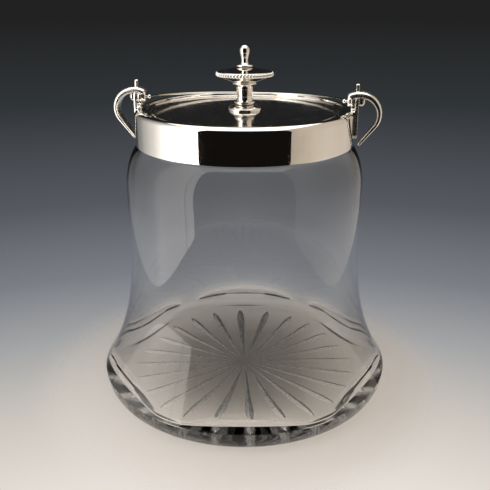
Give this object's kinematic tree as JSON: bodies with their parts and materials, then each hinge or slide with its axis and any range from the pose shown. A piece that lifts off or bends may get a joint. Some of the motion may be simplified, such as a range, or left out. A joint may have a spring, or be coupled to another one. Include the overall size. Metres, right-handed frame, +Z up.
{
  "type": "biscuit jar",
  "caption": "Bell-shaped clear glass biscuit jar on a star-cut foot, with a plated collar, scroll lugs, a folding wire handle and a flat lift-off lid with a turned knob.",
  "frame": {"origin": "centre of the foot at table level", "axes": "+Z up along the jar's axis, +Y to the back where the folded handle lies, +X to the right seen from the front"},
  "size_m": [0.15, 0.15, 0.1718],
  "materials": {
    "silver_plate": "polished silver plate, lightly tarnished and scratched",
    "clear_glass": "clear, polished, star cut under the foot",
    "plaster": "matt white bedding plaster",
    "brass": "dull turned brass"
  },
  "bodies": {
    "jar": {"glass_jar": "clear_glass", "collar_band": "silver_plate", "collar_sleeve": "silver_plate", "collar_cement": "plaster", "lug_plate_left": "silver_plate", "lug_plate_right": "silver_plate", "lug_eye_left": "silver_plate", "lug_eye_right": "silver_plate", "lug_scroll_left": "silver_plate", "lug_scroll_right": "silver_plate"},
    "handle": {"bow_handle": "silver_plate", "rivet_head_left": "silver_plate", "rivet_head_right": "silver_plate"},
    "lid": {"lid_plate": "silver_plate", "lid_sleeve": "silver_plate", "knob_foot": "silver_plate", "knob_stem": "silver_plate", "knob_disc": "silver_plate", "knob_beading": "silver_plate", "knob_finial": "silver_plate", "knob_stud": "brass", "knob_washer": "brass", "knob_nut": "brass"}
  },
  "joints": [
    {"name": "handle_swing", "type": "hinge", "parent": "jar", "child": "handle", "pos_m": [0, 0, 0.147], "axis": [1, 0, 0], "range_deg": [0, 172]},
    {"name": "lid_lift", "type": "slide", "parent": "jar", "child": "lid", "axis": [0, 0, 1], "range_m": [0, 0.04]}
  ]
}
